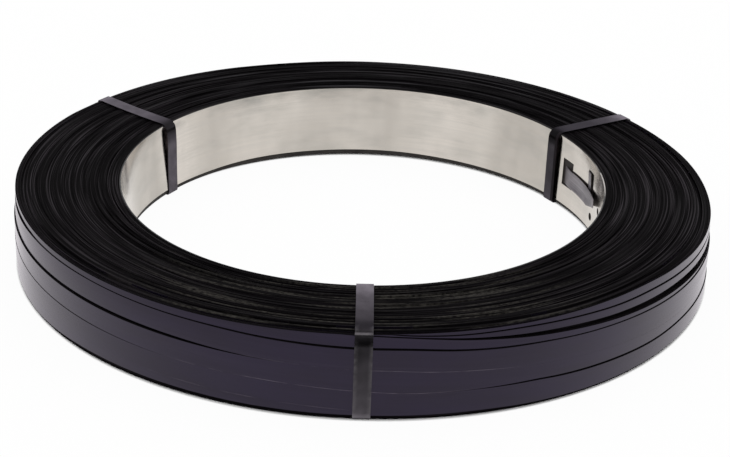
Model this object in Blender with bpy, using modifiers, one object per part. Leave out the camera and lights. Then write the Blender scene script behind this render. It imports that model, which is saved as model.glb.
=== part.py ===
"""Steel strapping coil lying flat: black strap wound on a bare steel hoop and held by three steel ties.

Units are metres, +Z is up. The origin is on the coil's axis, at the floor.
An angle is measured from the front (-Y), positive towards the right (+X).
"""

from math import acos, atan2, ceil, cos, degrees, pi, radians, sin

import bmesh
import bpy
from mathutils import Matrix, Vector
from mathutils.geometry import convex_hull_2d

# The strap and the coil that it is wound into
STRAP_WIDTH = 0.016
STRAP_SHEET = 0.0005
WINDING_DEPTH = 0.083
FACE_WIDTH = 0.0658
EDGE_CHAMFER = 0.0006
# The wall is barrel-shaped: widest at a share of its height from the top, and drawn in at both rims
BARREL_PEAK = 0.4
BARREL_TOP_DROP = 0.004
BARREL_FOOT_DROP = 0.001
# The winding wandered: its outermost turn lies this far to the right of the bore's axis
WINDING_DRIFT = 0.0021

# The hoop that lines the bore
BORE_RADIUS = 0.203
HOOP_SHEET = 0.001
HOOP_TOP_DROP = 0.001
HOOP_FOOT_RISE = 0.0023

# The opening in the hoop that the strap's inner end comes through
WINDOW_ANGLE = 115.9
WINDOW_WIDTH = 0.0165
WINDOW_FOOT = -0.0114
WINDOW_SLACK = 0.009

# The second opening, behind the inner end, and the two small holes near it, by angle and height
SLOT_ANGLE = 102.3
SLOT_WIDTH = 0.0135
SLOT_HEIGHT = 0.020
SLOT_RISE = 0.0121
HOLE_RADIUS = 0.0028
HOLES = ((101.2, -0.0175), (94.5, -0.0025))

# The strap's inner end
# Its root and crest lie on either side of the window's middle, in halves of the window's width
TAIL_ROOT = 0.85
TAIL_CREST = 1.15
TAIL_LIFT = 0.0017
TAIL_ROOT_DEPTH = 0.0012
TAIL_END_ANGLE = 96.4
TAIL_STAND_OFF = 0.0008
TAIL_END_STAND_OFF = 0.003
# Its lower corner is snipped off from this angle to its end
TAIL_SNIP_ANGLE = 103.2
TAIL_SNIP_RISE = 0.0085

# The ties
TIE_WIDTH = 0.0127
TIE_SHEET = 0.0006
TIE_BEND = 0.001
TIE_BORE_BULGE = 0.0023
TIE_BORE_PEAK = 0.45
TIES = {"tie_front": 1.3, "tie_back_right": 122.6, "tie_back_left": -121.2}

# The clearance between pieces that touch
SEAT = 0.0003

# How far groups of turns lie below the end faces, and rows of strap below the wall, in sheets of strap
TOP_RING_DROPS = (0.0, 1.6, 0.4, 2.0, 0.8, 0.0, 1.2, 0.2)
FOOT_RING_DROPS = (0.4, 1.2, 0.0, 1.6, 0.6, 1.4, 0.2, 0.0)
WALL_ROW_DROPS = (1.0, 0.0, 1.0, 0.4)

SEGMENTS = 96
BEND_STEP = 30.0
LEG_STEPS = 10
TAIL_STEPS = 12

COIL_FOOT = TIE_SHEET + SEAT
COIL_TOP = COIL_FOOT + FACE_WIDTH
COIL_MIDDLE = COIL_FOOT + FACE_WIDTH / 2
WOUND_RADIUS = BORE_RADIUS + HOOP_SHEET + SEAT
COIL_RADIUS = WOUND_RADIUS + WINDING_DEPTH
WINDOW_HEIGHT = STRAP_WIDTH + WINDOW_SLACK


def clear_scene():
    for item in list(bpy.data.objects):
        bpy.data.objects.remove(item, do_unlink=True)


def make_collection(name):
    collection = bpy.data.collections.new(name)
    bpy.context.scene.collection.children.link(collection)
    return collection


def make_material(name, colour, roughness, metallic):
    material = bpy.data.materials.new(name)
    material.use_nodes = True
    shader = material.node_tree.nodes["Principled BSDF"]
    shader.inputs["Base Color"].default_value = (*colour, 1.0)
    shader.inputs["Roughness"].default_value = roughness
    shader.inputs["Metallic"].default_value = metallic
    return material


def strap_material():
    return make_material("black_waxed_strap", (0.03, 0.028, 0.034), 0.35, 0.2)


def hoop_material():
    return make_material("bare_steel_hoop", (0.60, 0.58, 0.56), 0.35, 1.0)


def tie_material():
    return make_material("grey_steel_tie", (0.17, 0.16, 0.18), 0.4, 0.9)


def place(angle, radius, height):
    """The point at an angle from the front, a radius from the axis and a height."""
    turn = radians(angle)
    return Vector((radius * sin(turn), -radius * cos(turn), height))


def add_object(name, mesh, collection, material):
    item = bpy.data.objects.new(name, mesh)
    collection.objects.link(item)
    if material:
        mesh.materials.append(material)
    return item


def shade(mesh):
    mesh.shade_smooth()
    mesh.set_sharp_from_angle(angle=radians(30))


def hide_cutter(item):
    item.hide_render = True
    item.display_type = "WIRE"


def turned(name, profile, collection, material):
    """A ring turned about Z from a closed profile that runs down its outer side."""
    mesh = bpy.data.meshes.new(name)
    edges = [(index, (index + 1) % len(profile)) for index in range(len(profile))]
    mesh.from_pydata([(radius, 0.0, height) for radius, height in profile], edges, [])
    item = add_object(name, mesh, collection, material)
    screw = item.modifiers.new("Turn", "SCREW")
    screw.steps = SEGMENTS
    screw.render_steps = SEGMENTS
    screw.use_merge_vertices = True
    screw.merge_threshold = 0.00001
    screw.use_smooth_shade = True
    return item


def plate(name, loops, thickness, collection, material=None):
    """A flat outline, with holes where loops lie inside each other, extruded both ways along its Z."""
    curve = bpy.data.curves.new(name, "CURVE")
    curve.dimensions = "2D"
    curve.fill_mode = "BOTH"
    curve.extrude = thickness / 2
    for loop in loops:
        spline = curve.splines.new("POLY")
        spline.points.add(len(loop) - 1)
        for point, (x, y) in zip(spline.points, loop):
            point.co = (x, y, 0.0, 1.0)
        spline.use_cyclic_u = True
    drawn = bpy.data.objects.new(name + "_outline", curve)
    collection.objects.link(drawn)
    bpy.context.view_layer.update()
    shape = drawn.evaluated_get(bpy.context.evaluated_depsgraph_get())
    mesh = bpy.data.meshes.new_from_object(shape)
    mesh.name = name
    bpy.data.objects.remove(drawn, do_unlink=True)
    work = bmesh.new()
    work.from_mesh(mesh)
    bmesh.ops.remove_doubles(work, verts=work.verts, dist=0.000001)
    work.to_mesh(mesh)
    work.free()
    shade(mesh)
    return add_object(name, mesh, collection, material)


def boolean(item, other, operation):
    modifier = item.modifiers.new(other.name, "BOOLEAN")
    modifier.operation = operation
    modifier.object = other


def side_steps(points, offset, closed):
    """The points moved sideways, to the left of their path where the offset is positive."""
    moved = []
    last = len(points) - 1
    for index, point in enumerate(points):
        before = points[index - 1] if index or closed else point
        after = points[(index + 1) % len(points)] if index < last or closed else point
        along = (after - before).normalized()
        moved.append(point + offset * Vector((-along.y, along.x)))
    return moved


def swell(share, peak):
    """0 at both ends of a leg and 1 at its peak, with a smooth rise and fall."""
    near = share / peak if share < peak else (1.0 - share) / (1.0 - peak)
    return sin(near * pi / 2) ** 2


def face_rings(drops, height, upward, rim):
    """The end face's profile from the bore to the wall's rim: rings of turns, each at its own height."""
    inner = WOUND_RADIUS + EDGE_CHAMFER
    outer = rim - EDGE_CHAMFER
    step = (outer - inner) / len(drops)
    profile = []
    for index, drop in enumerate(drops):
        level = height - upward * drop * STRAP_SHEET
        profile.append((inner + index * step, level))
        profile.append((inner + (index + 1) * step, level))
    return profile


def barrel(share):
    """The wall's radius at a share of its height from the top."""
    if share < BARREL_PEAK:
        return COIL_RADIUS - BARREL_TOP_DROP * (1.0 - share / BARREL_PEAK) ** 2
    return COIL_RADIUS - BARREL_FOOT_DROP * ((share - BARREL_PEAK) / (1.0 - BARREL_PEAK)) ** 2


def wall_rows():
    """The wall's profile from the top down: rows of strap, each a little in or out of the barrel."""
    rows = round(FACE_WIDTH / STRAP_WIDTH)
    top = COIL_TOP - EDGE_CHAMFER
    height = top - COIL_FOOT - EDGE_CHAMFER
    profile = []
    for index in range(rows):
        drop = WALL_ROW_DROPS[index % len(WALL_ROW_DROPS)] * STRAP_SHEET
        for share in (index / rows, (index + 1) / rows):
            profile.append((barrel(share) - drop, top - share * height))
    return profile


def drift(radius):
    """How far a turn of the winding lies to the right of the bore's axis."""
    return WINDING_DRIFT * (radius - WOUND_RADIUS) / WINDING_DEPTH


def let_drift(item):
    """Makes the turned ring a mesh and moves each of its turns by its drift."""
    bpy.context.view_layer.update()
    shape = item.evaluated_get(bpy.context.evaluated_depsgraph_get())
    mesh = bpy.data.meshes.new_from_object(shape)
    for vertex in mesh.vertices:
        vertex.co.x += drift(vertex.co.to_2d().length)
    item.modifiers.clear()
    item.data = mesh
    shade(mesh)


def strap_tail(cutters):
    """The strap's inner end: out of the coil, through the hoop's window and along the hoop."""
    half_window = degrees(WINDOW_WIDTH / 2 / BORE_RADIUS)
    root_angle = WINDOW_ANGLE + TAIL_ROOT * half_window
    crest_angle = WINDOW_ANGLE - TAIL_CREST * half_window
    root = WOUND_RADIUS + TAIL_ROOT_DEPTH
    crest = BORE_RADIUS - TAIL_STAND_OFF - STRAP_SHEET / 2
    end = BORE_RADIUS - TAIL_END_STAND_OFF - STRAP_SHEET / 2
    path = []
    for index in range(TAIL_STEPS + 1):
        angle = root_angle + (TAIL_END_ANGLE - root_angle) * index / TAIL_STEPS
        if angle > crest_angle:
            blend = (root_angle - angle) / (root_angle - crest_angle)
            radius = root + (crest - root) * sin(blend * pi / 2)
        else:
            blend = (crest_angle - angle) / (crest_angle - TAIL_END_ANGLE)
            radius = crest + (end - crest) * blend ** 2
        path.append(place(angle, radius, 0.0).to_2d())
    left = side_steps(path, STRAP_SHEET / 2, False)
    right = side_steps(path, -STRAP_SHEET / 2, False)
    tail = plate("strap_tail", [left + right[::-1]], STRAP_WIDTH, cutters)
    middle = COIL_MIDDLE + WINDOW_FOOT + TAIL_LIFT + STRAP_WIDTH / 2
    for vertex in tail.data.vertices:
        angle = degrees(atan2(vertex.co.x, -vertex.co.y))
        if vertex.co.z < 0 and angle < TAIL_SNIP_ANGLE:
            snip = (TAIL_SNIP_ANGLE - angle) / (TAIL_SNIP_ANGLE - TAIL_END_ANGLE)
            vertex.co.z += TAIL_SNIP_RISE * snip
        vertex.co.z += middle
    hide_cutter(tail)
    return tail


def strap_coil(parts, cutters):
    wall = wall_rows()
    top = face_rings(TOP_RING_DROPS, COIL_TOP, 1.0, wall[0][0])
    foot = face_rings(FOOT_RING_DROPS, COIL_FOOT, -1.0, wall[-1][0])
    bore = [(WOUND_RADIUS, COIL_FOOT + 2 * EDGE_CHAMFER), (WOUND_RADIUS, COIL_TOP - 2 * EDGE_CHAMFER)]
    coil = turned("strap_coil", top + wall + foot[::-1] + bore, parts, strap_material())
    let_drift(coil)
    boolean(coil, strap_tail(cutters), "UNION")


def box_cutter(name, angle, width, height, rise, cutters):
    """A box through the hoop's sheet, centred on an angle and a height above the ring's middle."""
    work = bmesh.new()
    bmesh.ops.create_cube(work, size=1.0)
    bmesh.ops.scale(work, vec=(10 * HOOP_SHEET, width, height), verts=work.verts)
    mesh = bpy.data.meshes.new(name)
    work.to_mesh(mesh)
    work.free()
    return set_cutter(name, mesh, angle, rise, cutters)


def hole_cutter(name, angle, radius, rise, cutters):
    """A round bar through the hoop's sheet."""
    work = bmesh.new()
    bmesh.ops.create_cone(
        work, cap_ends=True, segments=16, radius1=radius, radius2=radius, depth=10 * HOOP_SHEET,
        matrix=Matrix.Rotation(pi / 2, 4, "Y"))
    mesh = bpy.data.meshes.new(name)
    work.to_mesh(mesh)
    work.free()
    return set_cutter(name, mesh, angle, rise, cutters)


def set_cutter(name, mesh, angle, rise, cutters):
    cutter = add_object(name, mesh, cutters, None)
    cutter.location = place(angle, BORE_RADIUS + HOOP_SHEET / 2, COIL_MIDDLE + rise)
    cutter.rotation_euler.z = radians(angle - 90.0)
    hide_cutter(cutter)
    return cutter


def core_hoop(parts, cutters):
    outer = BORE_RADIUS + HOOP_SHEET
    top = COIL_TOP - HOOP_TOP_DROP
    foot = COIL_FOOT + HOOP_FOOT_RISE
    profile = [(BORE_RADIUS, top), (outer, top), (outer, foot), (BORE_RADIUS, foot)]
    hoop = turned("core_hoop", profile, parts, hoop_material())
    window_rise = WINDOW_FOOT + WINDOW_HEIGHT / 2
    window = box_cutter("window", WINDOW_ANGLE, WINDOW_WIDTH, WINDOW_HEIGHT, window_rise, cutters)
    boolean(hoop, window, "DIFFERENCE")
    slot = box_cutter("slot", SLOT_ANGLE, SLOT_WIDTH, SLOT_HEIGHT, SLOT_RISE, cutters)
    boolean(hoop, slot, "DIFFERENCE")
    for index, (angle, rise) in enumerate(HOLES):
        boolean(hoop, hole_cutter(f"hole_{index + 1}", angle, HOLE_RADIUS, rise, cutters), "DIFFERENCE")


def section(angle):
    """The corners, as (radius, height), of the ring's section that a tie is pulled round at an angle."""
    wall = wall_rows()
    wall[0] = (wall[0][0], COIL_TOP)
    wall[-1] = (wall[-1][0], COIL_FOOT)
    corners = [Vector((BORE_RADIUS, COIL_FOOT)), Vector((BORE_RADIUS, COIL_TOP))]
    for radius, height in wall:
        corners.append(Vector((radius + drift(radius) * sin(radians(angle)), height)))
    return [corners[index] for index in convex_hull_2d(corners)]


def bend(corner, before, after):
    """The sheet's middle round a corner, from the square of the edge before it to that of the next."""
    across = before.dot(after)
    centre = corner - (TIE_BEND - SEAT) * (before + after) / (1.0 + across)
    turn = acos(max(-1.0, min(1.0, across)))
    steps = max(1, ceil(degrees(turn) / BEND_STEP))
    points = []
    for index in range(steps + 1):
        aim = Matrix.Rotation(turn * index / steps, 2) @ before
        points.append(centre + (TIE_BEND + TIE_SHEET / 2) * aim)
    return points


def bore_leg(top, foot):
    """The tie's run down the bore, standing off the hoop in its middle."""
    points = []
    for index in range(1, LEG_STEPS):
        point = top.lerp(foot, index / LEG_STEPS)
        point.x -= TIE_BORE_BULGE * swell(1.0 - index / LEG_STEPS, TIE_BORE_PEAK)
        points.append(point)
    return points


def tie_loop(angle):
    """The middle of a tie's sheet round the ring's section, anticlockwise, as (radius, height)."""
    corners = section(angle)
    squares = []
    for index, corner in enumerate(corners):
        along = (corners[(index + 1) % len(corners)] - corner).normalized()
        squares.append(Vector((along.y, -along.x)))
    bends = [bend(corner, squares[index - 1], squares[index]) for index, corner in enumerate(corners)]
    loop = []
    for index, points in enumerate(bends):
        loop += points
        # The edge whose square points to the axis is the bore's
        if squares[index].x < -0.9:
            loop += bore_leg(points[-1], bends[(index + 1) % len(bends)][0])
    return loop


def tie(name, angle, parts, material):
    middle = tie_loop(angle)
    loops = [side_steps(middle, TIE_SHEET / 2, True), side_steps(middle, -TIE_SHEET / 2, True)]
    band = plate(name, loops, TIE_WIDTH, parts, material)
    band.rotation_euler = (pi / 2, 0.0, radians(angle - 90.0))


def build():
    clear_scene()
    parts = make_collection("steel_strapping_coil")
    cutters = make_collection("cutters")
    strap_coil(parts, cutters)
    core_hoop(parts, cutters)
    grey = tie_material()
    for name, angle in TIES.items():
        tie(name, angle, parts, grey)


build()
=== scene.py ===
"""The finish of a steel strapping coil: black strap on a bare steel hoop, held by grey steel ties.

Lengths are metres, but for the tables of knots round the ring, which are in millimetres. An angle is
measured from the front (-Y), positive towards the right (+X), in degrees. A depth on the wall is measured
inwards from the ring's widest surface, a height upwards from its foot.
"""

from math import cos, pi, radians, sin

import bmesh
import bpy
import numpy as np
from mathutils import Matrix, Vector


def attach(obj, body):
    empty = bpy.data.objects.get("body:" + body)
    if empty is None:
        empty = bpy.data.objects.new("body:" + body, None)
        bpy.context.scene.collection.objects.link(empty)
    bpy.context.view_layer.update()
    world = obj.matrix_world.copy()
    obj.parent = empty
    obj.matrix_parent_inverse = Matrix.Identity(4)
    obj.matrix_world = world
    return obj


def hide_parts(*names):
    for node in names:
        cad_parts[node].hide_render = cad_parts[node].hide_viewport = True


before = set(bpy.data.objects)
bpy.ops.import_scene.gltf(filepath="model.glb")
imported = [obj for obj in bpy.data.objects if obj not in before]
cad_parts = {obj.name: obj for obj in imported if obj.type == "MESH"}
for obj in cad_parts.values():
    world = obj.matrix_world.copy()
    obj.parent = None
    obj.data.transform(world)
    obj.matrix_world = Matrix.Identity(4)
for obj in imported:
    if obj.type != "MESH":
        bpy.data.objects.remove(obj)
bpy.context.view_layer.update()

# The ring and its strap, as in the solids
FOOT = 0.0009
FACE = 0.0658
TOP = FOOT + FACE
BORE = 0.203
STRAP = 0.016
SHEET = 0.0005
HOOP_SHEET = 0.001
HOOP_TOP_DROP = 0.001
HOOP_FOOT_RISE = 0.0023
# How far the hoop's foot stands above the ring's, by angle, and over which height the sheet follows it
HOOP_FOOT = ((-150, 5), (-130, 4.2), (-112, 4.6), (-60, 3.6), (0, 3), (60, 2.8), (110, 3.4), (130, 3.6),
             (146, 3.7), (160, 4.1), (172, 4.6), (190, 4.7))
HOOP_FOOT_BLEND = 0.007

# The bore is out of round: its radius at the hoop's top and foot is a mean and two waves round the ring,
# each wave by its share along the front and along the right
BORE_TOP = (0.2025, (0.0003, 0.0014), (0.0030, -0.0015))
BORE_FOOT = (0.2004, (0.0019, 0.0037), (0.0019, -0.0007))
# The wall at its widest, in the same form
WALL = (0.2862, (0.0, 0.0021), (-0.0010, 0.0))

# How far the wall leans in at its top rim, by angle, and the height from which it leans
WALL_LEAN = ((-180, 2.2), (-163, 3.6), (-144, 1.8), (-120, 0.8), (-90, 0.8), (-60, 2), (-30, 2.4), (0, 2.6),
             (30, 1.4), (65, 0.8), (84, 0.6), (100, 1.6), (110, 2.4), (133, 3.3), (155, 2.6))
LEAN_START = 0.040

# The seams between the wall's rows of strap, by angle and height, from the top down
SEAMS = (
    ((-150, 65.6), (2, 65.6), (8, 63.6), (14, 62.3), (25, 62), (35, 60.5), (42, 59), (50, 58), (60, 55),
     (75, 52), (95, 51), (120, 52), (160, 57), (190, 63)),
    ((-110, 65.4), (-12, 65.4), (0, 64.3), (7, 62.8), (12, 61), (16, 59.3), (20, 57.9), (25, 56.2),
     (32, 54.3), (42, 51.2), (50, 49.3), (57, 47.8), (62, 46.5), (75, 43.5), (90, 42.5), (110, 43),
     (140, 46), (180, 51), (220, 60)),
    ((-85, 60), (-75, 60.1), (-60, 61.1), (-42, 60.7), (-30, 59.7), (-20, 58.9), (-12, 57.3), (0, 55.3),
     (8, 54.6), (15, 52.2), (21, 50.6), (28, 49.4), (35, 47.6), (42, 46.2), (50, 44.4), (58, 42.8),
     (75, 40.3), (95, 39), (120, 39), (150, 42), (190, 48), (230, 56)),
    ((-85, 44.8), (-60, 44.6), (-37, 44), (-25, 43), (-17, 41.8), (-8, 40.5), (0, 39.2), (6, 38.5),
     (10, 37.2), (18, 35.2), (25, 33), (40, 28.5), (55, 24), (75, 20), (95, 18.3), (120, 18), (150, 21),
     (190, 30), (230, 39)),
    ((-85, 27.8), (-52, 27.2), (-35, 26.4), (-20, 25.4), (-8, 24), (0, 22.2), (10, 20.2), (20, 20.3),
     (26, 20.3), (31, 19.2), (42, 17.4), (50, 16.1), (60, 15.7), (65, 15), (75, 13.5), (95, 11), (120, 10),
     (150, 11), (190, 17), (230, 22.5)),
    ((-85, 11), (-50, 10.6), (-25, 9.6), (-10, 8.4), (0, 6.6), (12, 4.2), (22, 2.7), (34, 2), (60, 1.6),
     (170, 1.2), (200, 3), (240, 8)),
)
# How deep each row of strap lies under the ring's widest surface, by angle, from the top down
ROW_DEPTHS = (
    ((-150, 3), (0, 3.3), (30, 3.8), (58, 4.2), (66, 3.6), (74, 2.6), (80, 1.8), (88, 1.2), (96, 1),
     (102, 1.4), (108, 2.4), (114, 3.2), (122, 3.8), (170, 3.2)),
    ((-150, 2.3), (0, 2.4), (30, 3.2), (58, 3.6), (66, 3.2), (74, 2.4), (80, 1.7), (88, 1.1), (96, 0.9),
     (102, 1.3), (108, 2.2), (114, 2.9), (122, 3.3), (170, 2.5)),
    ((-150, 1.2), (-95, 0.8), (-60, 1.5), (-15, 1.5), (0, 2), (18, 1.5), (60, 1.3), (130, 1.2)),
    ((-120, 1), (-60, 1.2), (-28, 0.9), (-12, 0.1), (20, 0.1), (36, 0.6), (130, 0.6)),
    ((-120, 0.2), (-60, 0.2), (-28, 0.2), (-12, 0.6), (12, 0.6), (35, 0.6), (130, 0.6)),
    ((-120, 0), (-48, 0), (-28, 0.7), (8, 1), (25, 0.1), (60, 0), (130, 0.3)),
    ((-120, 0.5), (-48, 0.6), (-28, 1.2), (8, 1.5), (40, 0.9), (130, 0.9)),
    ((-120, 0.7), (-48, 0.8), (-28, 1.4), (8, 1.7), (40, 1.1), (130, 1.1)),
)
# The foot of the lowest row, under which the turns behind it show near black, partly as painted shade along
# the foot, by angle and height
FOOT_EDGE = ((-120, 0.6), (-64, 0.6), (-54, 1.3), (-46, 2.5), (-39, 2.9), (-25, 2.8), (-14, 2.5), (0, 2.5),
             (9, 2.3), (17, 2.3), (25, 1.8), (45, 1), (60, 0.6), (130, 0.6))
# How far apart the rows' edges stand at each seam, by angle
SEAM_GAPS = (
    ((-150, 0.2), (14, 0.3), (30, 0.6), (60, 1), (100, 0.8), (160, 0.2)),
    ((-110, 0.2), (0, 0.3), (12, 0.4), (20, 1), (28, 2), (42, 2.8), (54, 3.4), (75, 3.6), (120, 1)),
    ((-110, 1), (-80, 4.2), (-72, 4), (-67, 2.8), (-60, 1.1), (-50, 0.6), (-40, 0.3), (-20, 0.3), (0, 0.5),
     (12, 0.5), (22, 0.2), (42, 0.3), (58, 0.6), (90, 0.4)),
    ((-120, 0.8), (-60, 1.5), (-26, 1.4), (-17, 0.6), (-8, 0.1), (25, 0.1), (34, 0.03), (120, 0.03)),
    ((-120, 0.2), (-60, 0.4), (-35, 0.3), (-24, 0.1), (16, 0.1), (26, 0.6), (60, 0.9), (100, 0.5)),
    ((-120, 0.1), (60, 0.1), (150, 0.3)),
)
# How deep a gap goes for its height, and at most, and how much of the room between its neighbours it takes
GAP_DEPTH = 1.8
GAP_DEEPEST = 0.0028
GAP_SHARE = 0.8
# How far the paint is rubbed off, partly as painted highlight, 0 to 1, by angle: at the rim first, then at
# each row's lower edge
WEAR_AND_HIGHLIGHT = (
    ((-120, 0.4), (-60, 0.8), (-41, 0.5), (-38, 1), (-35, 0.5), (-24, 0.8), (-8, 0.9), (0, 0.4), (60, 0.4),
     (120, 0.4)),
    ((-120, 0), (30, 0), (60, 0.25), (120, 0)),
    ((-120, 0), (-20, 0.1), (-8, 0.3), (8, 0.1), (60, 0.3), (120, 0)),
    ((-120, 0), (-40, 0), (0, 0.05), (50, 0.3), (120, 0)),
    ((-120, 0), (-22, 0), (-10, 0.7), (2, 0.9), (18, 0.8), (30, 0)),
    ((-120, 0), (-34, 0), (-22, 0.8), (-6, 0.9), (10, 0.7), (22, 0)),
    ((-120, 0), (-40, 0), (-24, 0.5), (-6, 0.6), (4, 0)),
    ((-120, 0.2), (-60, 0.4), (-10, 0.3), (20, 0.1), (120, 0.2)),
)
# How far the outer turns' top rim lies under the ring's face, by angle
RIM_DROP = ((-150, 0.3), (-60, 0.6), (-20, 1), (20, 1), (42, 0.6), (50, 1.2), (55, 2.6), (60, 3.8),
            (65, 5.1), (70, 6.1), (76, 6.8), (84, 6.8), (95, 4.8), (105, 2.4), (112, 1.4), (130, 0.3))
# The winding's layers step down to a rim that drops further than this, from this share of its depth outwards
LEVEL_DROP = 0.0010
SHOULDER_START = 0.86
# How deep the outer turns go, and how far beyond that their rims reach and short of it their gaps stop
OUTER_TURNS_DEPTH = 0.0052
BACK_GAP = 0.0004
# The cut off the rows' edges, at most this share of the gap beside it
EDGE_CUT = 0.00015
EDGE_CUT_SHARE = 0.75

WALL_STEPS = 360
FACE_STEPS = 256
# The air between pieces that touch, the least length that keeps faces apart, and what counts as one point
AIR = 0.0003
HAIR = 0.0001
SAME_POINT = 0.000002

# The camera, fitted to the photograph's outlines
CAMERA_LENS = 83.98
CAMERA_SENSOR = 36.0
CAMERA_DISTANCE = 1.444
CAMERA_ELEVATION = 24.85
CAMERA_ROLL = 2.02
CAMERA_ASIDE = 0.00425
CAMERA_AIM_LIFT = 0.01336

# The floor: how much of its white is plain white, and between which distances from the wall's middle it
# passes from its own shade to that, outside the ring and inside the bore
FLOOR_SIDE = 12.0
FLOOR_WHITE = 0.95
FLOOR_OUTSIDE = (0.2864, 0.2880)
FLOOR_INSIDE = (0.2030, 0.2004)
# The ring is narrower from front to back than across, so the distance is stretched that way
FLOOR_STRETCH = 1.007
# The black card behind the camera
FLAG_WIDTH = 7.0
FLAG_HEIGHT = 4.2
FLAG_FOOT = 0.1
FLAG_DISTANCE = 2.4


def place(angle, radius, height):
    """The point at an angle from the front, a radius from the axis and a height."""
    turn = radians(angle)
    return Vector((radius * sin(turn), -radius * cos(turn), height))


def lay_out(angle, radius, third):
    """The same for many angles, as rows of X, Y and a third value."""
    turn = np.radians(angle)
    return np.stack((radius * np.sin(turn), -radius * np.cos(turn), third), axis=1)


def polar(points):
    """Angles in degrees and radii of points given as rows of X, Y and Z."""
    return np.degrees(np.arctan2(points[:, 0], -points[:, 1])), np.hypot(points[:, 0], points[:, 1])


def around(angle, knots):
    """A smooth value round the ring, through knots of (angle, value)."""
    angles, values = np.array(knots, float).T
    angles = np.concatenate((angles[-2:] - 360.0, angles, angles[:2] + 360.0))
    values = np.concatenate((values[-2:], values, values[:2]))
    # The curve lies level where the values turn back, so that it never passes them
    slopes = np.gradient(values, angles)
    steps = np.diff(values)
    slopes[1:-1][steps[1:] * steps[:-1] <= 0.0] = 0.0
    turn = (np.asarray(angle, float) - angles[1]) % 360.0 + angles[1]
    at = np.clip(np.searchsorted(angles, turn, side="right") - 1, 0, len(angles) - 2)
    width = angles[at + 1] - angles[at]
    share = (turn - angles[at]) / width
    rise, run = share ** 2 * (3.0 - 2.0 * share), share * (1.0 - share)
    return (values[at] * (1.0 - rise) + values[at + 1] * rise
            + width * run * (slopes[at] * (1.0 - share) - slopes[at + 1] * share))


def length_at(angle, knots):
    """A smooth length round the ring, through knots of (angle, millimetres)."""
    return around(angle, knots) / 1000.0


def waves(angle, form):
    """A mean and its waves once and twice round the ring."""
    turn = np.radians(angle)
    mean, once, twice = form
    return (mean + once[0] * np.cos(turn) + once[1] * np.sin(turn)
            + twice[0] * np.cos(2.0 * turn) + twice[1] * np.sin(2.0 * turn))


def bore(angle, height):
    """The radius of the hoop's inner face."""
    share = height / FACE
    return waves(angle, BORE_FOOT) * (1.0 - share) + waves(angle, BORE_TOP) * share


def wall(angle, height):
    """The radius of the ring's widest surface."""
    share = np.clip((height - LEAN_START) / (FACE - LEAN_START), 0.0, 1.0)
    return waves(angle, WALL) - length_at(angle, WALL_LEAN) * share ** 2


def row_depth(angle, height):
    """How deep the wall's row of strap at an angle and a height lies under the widest surface."""
    for seam, depth in zip(SEAMS, ROW_DEPTHS):
        if height > length_at(angle, seam):
            return length_at(angle, depth)
    return length_at(angle, ROW_DEPTHS[-1])


def read(items, measure, size=3):
    """A measure of each of a mesh's points or faces, as rows of a size."""
    values = np.empty(len(items) * size)
    items.foreach_get(measure, values)
    return values.reshape(-1, size) if size > 1 else values


def move_points(mesh, angle, radius, height):
    """Puts a mesh's points at angles, radii and heights above the ring's foot."""
    mesh.vertices.foreach_set("co", lay_out(angle, radius, FOOT + height).ravel())
    mesh.update()


def mark_points(mesh, name, values):
    """Keeps a value or a vector with each point, for the finishes."""
    kind, field = ("FLOAT_VECTOR", "vector") if np.ndim(values) > 1 else ("FLOAT", "value")
    mesh.attributes.new(name, kind, "POINT").data.foreach_set(field, np.ravel(values))


def choose_finish(mesh, numbers):
    """Gives each face the finish of a number."""
    mesh.polygons.foreach_set("material_index", numbers.astype(np.int32))


def make_piece(name, work, materials, smooth_to=None):
    """An object from a bmesh, smooth but for the edges that turn by more than an angle."""
    mesh = bpy.data.meshes.new(name)
    work.to_mesh(mesh)
    work.free()
    for finish in materials:
        mesh.materials.append(finish)
    piece = bpy.data.objects.new(name, mesh)
    bpy.context.scene.collection.objects.link(piece)
    mesh.shade_smooth()
    if smooth_to:
        mesh.set_sharp_from_angle(angle=radians(smooth_to))
    return piece


def settle(piece, node):
    """The piece stands for a CAD node, which it hides, and moves with the part."""
    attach(piece, "root")
    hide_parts(node)


def closed_loop(work, points):
    """The corners and edges of a closed loop through points."""
    corners = [work.verts.new(point) for point in points]
    return corners, [work.edges.new((corners[index - 1], corner)) for index, corner in enumerate(corners)]


def made_of(made, kind):
    """The verts or edges among what a bmesh operator made."""
    return [item for item in made["geom"] if isinstance(item, kind)]


def spun(profile, steps):
    """A closed ring from a closed profile of (radius, height): an eighth of a turn, doubled three times."""
    work = bmesh.new()
    corners, edges = closed_loop(work, [(radius, 0.0, height) for radius, height in profile])
    bmesh.ops.spin(work, geom=corners + edges, cent=(0, 0, 0), axis=(0, 0, 1), angle=pi / 4, steps=steps // 8)
    for turn in (pi / 4, pi / 2, pi):
        made = bmesh.ops.duplicate(work, geom=work.verts[:] + work.edges[:] + work.faces[:])
        bmesh.ops.rotate(work, verts=made_of(made, bmesh.types.BMVert), cent=(0, 0, 0),
                         matrix=Matrix.Rotation(turn, 3, "Z"))
    bmesh.ops.remove_doubles(work, verts=work.verts, dist=SAME_POINT)
    bmesh.ops.recalc_face_normals(work, faces=work.faces)
    return work


def flat_grid(columns, rows, width, height):
    """A flat rectangle round the origin, in columns and rows of faces."""
    work = bmesh.new()
    bmesh.ops.create_grid(work, x_segments=columns, y_segments=rows, size=0.5)
    bmesh.ops.scale(work, verts=work.verts, vec=(width, height, 1.0))
    return work


# The winding

# Layers of strap from the bore to the outer turns, shared out over rings that nest in each other
RINGS = 3
RING_LAYERS = 48
LAYERS = RINGS * RING_LAYERS
PITCH = 0.0005
FLAT = 0.00036
GROOVE = 0.00016
RING_INSET = 0.00004
# The layers are drawn from this radius outwards before they are fitted between the bore and the wall
DRAWN_BORE = 0.2
# The finishes' place vector runs round the ring at this radius
LAY_RADIUS = 0.25

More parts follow.
